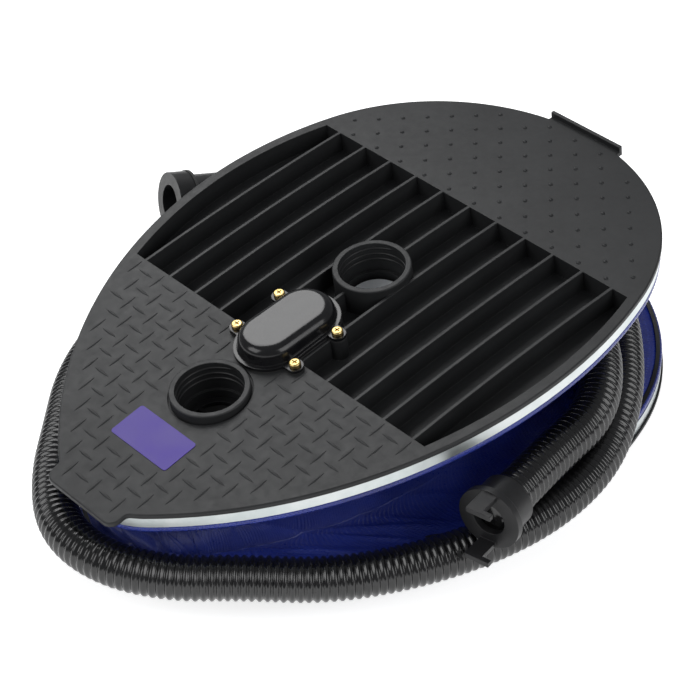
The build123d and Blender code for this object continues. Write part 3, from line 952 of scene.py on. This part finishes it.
# ---------------------------------------------------------------------- plates' details
@dataclass
class TreadPlates:
    """The moulded grip on both plates: crossed bars at the narrow end, round studs at the wide end."""
    wardrobe: Wardrobe
    lattice_x: float = 0.0120
    lattice_y: float = 0.0110
    bar_half: float = 0.0063
    bar_half_w: float = 0.00105
    bar_h: float = 0.00055
    stud_r: float = 0.0015
    stud_h: float = 0.0010
    stud_x0: float = 0.172
    stud_dx: float = 0.0117
    stud_dy: float = 0.0223
    stud_margin: float = 0.010
    bar_margin: float = 0.009
    bar_x: tuple[float, float] = (-0.142, -0.007)
    port_x: float = -0.050
    port_clear: float = 0.0325
    sticker_x: float = -0.0948
    sticker_clear: tuple[float, float] = (0.0185, 0.0305)

    def bar(self) -> tuple[np.ndarray, np.ndarray]:
        """A lens-shaped bar: its width and height both fall off with the square of the way along.

        Returns:
            Vertices and faces.
        """
        u = np.linspace(-1, 1, 7)[:, None]
        v = np.linspace(-1, 1, 5)[None, :]
        x = u * self.bar_half + 0 * v
        y = v * self.bar_half_w * (1 - 0.88 * u**2)
        z = self.bar_h * (1 - v**2) * (1 - 0.6 * u**2) - 0.0001 * (v**2 > 0.99)
        return np.stack([x, y, z], -1).reshape(-1, 3), grid_faces(7, 5)[:, ::-1]

    def stud(self) -> tuple[np.ndarray, np.ndarray]:
        """A low round stud: a quarter circle turned about its axis.

        Returns:
            Vertices and faces.
        """
        a = np.linspace(0, np.pi / 2, 4)[:, None]
        b = np.linspace(0, TAU, 10, endpoint=False)[None, :]
        r = self.stud_r * np.cos(a * 0.96)
        points = np.stack([r * np.cos(b), r * np.sin(b), self.stud_h * np.sin(a) - 0.0001 + 0 * b], -1)
        return points.reshape(-1, 3), grid_faces(4, 10, closed_cols=True)

    def lay(self, plate: Plate, name: str, shape: tuple[np.ndarray, np.ndarray], x: np.ndarray,
            y: np.ndarray, turns: np.ndarray) -> None:
        """Lays copies of a small shape on a plate's outer face, following its arch.

        Args:
            plate: the plate.
            name: the piece's name.
            shape: the shape's vertices, with Z outwards, and faces.
            x: plate X of each copy.
            y: plate Y of each copy.
            turns: turn of each copy.
        """
        flat, faces = repeat_shape(*shape, np.stack([x, y, 0 * x], -1), turns)
        points = plate.place(flat[:, 0], flat[:, 1], -flat[:, 2])
        if plate.up < 0:
            faces = faces[:, ::-1]
        piece = make_piece(name, points, faces)
        self.wardrobe.dress(piece, Finish.DECK, "black_moulding")
        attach(piece, plate.body)

    def dress_plate(self, plate: Plate, prefix: str) -> None:
        """Lays the bars and studs of one plate, clear of its port and sticker.

        Args:
            plate: the plate.
            prefix: the start of the pieces' names.
        """
        i, j = np.meshgrid(np.arange(-13, 0), np.arange(-11, 12), indexing="ij")
        x, y = (i * self.lattice_x + 0.0035).ravel(), (j * self.lattice_y).ravel()
        turns = ((i + j) % 2).ravel() * (np.pi / 2)
        keep = OUTLINE.holds(x, y, self.bar_margin) & (x > self.bar_x[0]) & (x < self.bar_x[1])
        keep &= np.hypot(x - self.port_x, y) > self.port_clear
        if plate is DECK:
            half_x, half_y = self.sticker_clear
            keep &= ~((np.abs(x - self.sticker_x) < half_x) & (np.abs(y) < half_y))
        self.lay(plate, prefix + "_tread_bars", self.bar(), x[keep], y[keep], turns[keep])
        i, j = np.meshgrid(np.arange(0, 9), np.arange(-7, 8), indexing="ij")
        x = (self.stud_x0 + i * self.stud_dx).ravel()
        y = ((j + 0.5 * (i % 2)) * self.stud_dy).ravel()
        keep = OUTLINE.holds(x, y, self.stud_margin)
        self.lay(plate, prefix + "_studs", self.stud(), x[keep], y[keep], 0 * x[keep])

    def build(self) -> None:
        """Dresses the deck and the base."""
        self.dress_plate(DECK, "deck")
        self.dress_plate(BASE, "base")
        LOG.info("tread bars and studs laid on both plates")


@dataclass
class Ports:
    """The screw thread inside each hose port."""
    wardrobe: Wardrobe
    bore_r: float = 0.021
    ridge: float = 0.0009
    pitch: float = 0.0042
    turns: float = 2.6

    def thread(self, name: str, x: float, rise: float) -> None:
        """A rounded ridge winding down a port's wall.

        Args:
            name: the piece's name.
            x: the port's plate X.
            rise: how far its collar stands above the plate.
        """
        count, across = 160, 6
        a = np.linspace(0, self.turns * TAU, count)[:, None]
        b = np.linspace(0, np.pi, across)[None, :]
        ends = np.clip(np.minimum(a, a[-1] - a) / 0.6, 0.05, 1)
        r = self.bore_r + 0.0002 - (self.ridge + 0.0002) * np.sin(b) * ends
        depth = -rise + 0.0035 + self.pitch * a / TAU - 0.0008 * np.cos(b)
        drop = float(DECK.drop(np.array(x)))
        z = -(drop + depth)
        px, py = x + r * np.cos(a), r * np.sin(a)
        c, s = math.cos(DECK.tilt), math.sin(DECK.tilt)
        points = np.stack([DECK.shift + px * c - z * s, py, DECK.height + px * s + z * c], -1)
        piece = make_piece(name, points.reshape(-1, 3), grid_faces(count, across))
        self.wardrobe.dress(piece, Finish.FITTING, "black_moulding")
        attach(piece, "deck")

    def build(self) -> None:
        """Makes both threads."""
        self.thread("rear_port_thread", 0.0832, 0.005)
        self.thread("front_port_thread", -0.050, 0.004)


@dataclass
class ReturnSpring:
    """The conical spring between the plates."""
    wardrobe: Wardrobe
    turns: float = 5.0
    wire: float = 0.0036

    def build(self) -> None:
        """A helix whose radius falls from the lower cup to the upper one."""
        low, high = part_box("return_spring")
        cx, cy = (low.x + high.x) / 2, (low.y + high.y) / 2
        r0 = (high.x - low.x) / 2 - self.wire / 2
        t = np.linspace(0, 1, 420)
        a = TAU * self.turns * t
        r = r0 - 0.006 * t
        z = low.z + self.wire / 2 + (high.z - low.z - self.wire) * np.clip((t - 0.08) / 0.84, 0, 1)
        path = np.stack([cx + r * np.cos(a), cy + r * np.sin(a), z], -1)
        points = tube_along(path, np.full(len(path), self.wire / 2), 10)
        piece = make_piece("conical_spring", points, grid_faces(len(path), 10, closed_cols=True))
        self.wardrobe.dress(piece, Finish.SPRING, "spring_steel")
        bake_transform(piece)
        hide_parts("return_spring")


@dataclass
class CarriedNodes:
    """Finishes of the CAD nodes that are shown as they are."""
    wardrobe: Wardrobe
    frame: dict

    def build(self) -> None:
        """Dresses each node."""
        finishes = {
            "deck": Finish.DECK, "base": Finish.DECK, "deck_band": Finish.BAND, "base_band": Finish.BAND,
            "rubber_feet": Finish.RUBBER, "hinge_pin": Finish.SPRING, "base_spring_cup": Finish.FITTING,
            "deck_spring_cup": Finish.FITTING, "outlet_seat": Finish.FITTING, "intake_seat": Finish.FITTING,
            "outlet_disc": Finish.VALVE, "outlet_stem": Finish.VALVE, "intake_disc": Finish.RUBBER,
            "intake_stem": Finish.RUBBER, "valve_cover": Finish.POLISHED, "cover_gasket": Finish.RUBBER,
            "cover_screws": Finish.SCREW, "label": Finish.STICKER, "hose_cuff": Finish.FITTING,
            "hose_nozzle": Finish.FITTING, "hose_connector": Finish.FITTING, "connector_seal": Finish.RUBBER,
            "connector_nose": Finish.FITTING}
        for node, finish in finishes.items():
            self.wardrobe.dress(self.frame["nodes"][node], finish)
        LOG.info("%d CAD nodes dressed", len(finishes))


def main() -> None:
    """Builds the stage, the hose, the fabric and the plates' details in order."""
    logging.basicConfig(level=logging.INFO, format="%(name)s: %(message)s")
    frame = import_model()
    bpy.context.scene.view_settings.view_transform = "Standard"
    wardrobe = Wardrobe()
    Studio().build()
    Hose(wardrobe).build()
    Bellows(wardrobe).build()
    TreadPlates(wardrobe).build()
    Ports(wardrobe).build()
    ReturnSpring(wardrobe).build()
    CarriedNodes(wardrobe, frame).build()


if __name__ == "__main__":
    main()
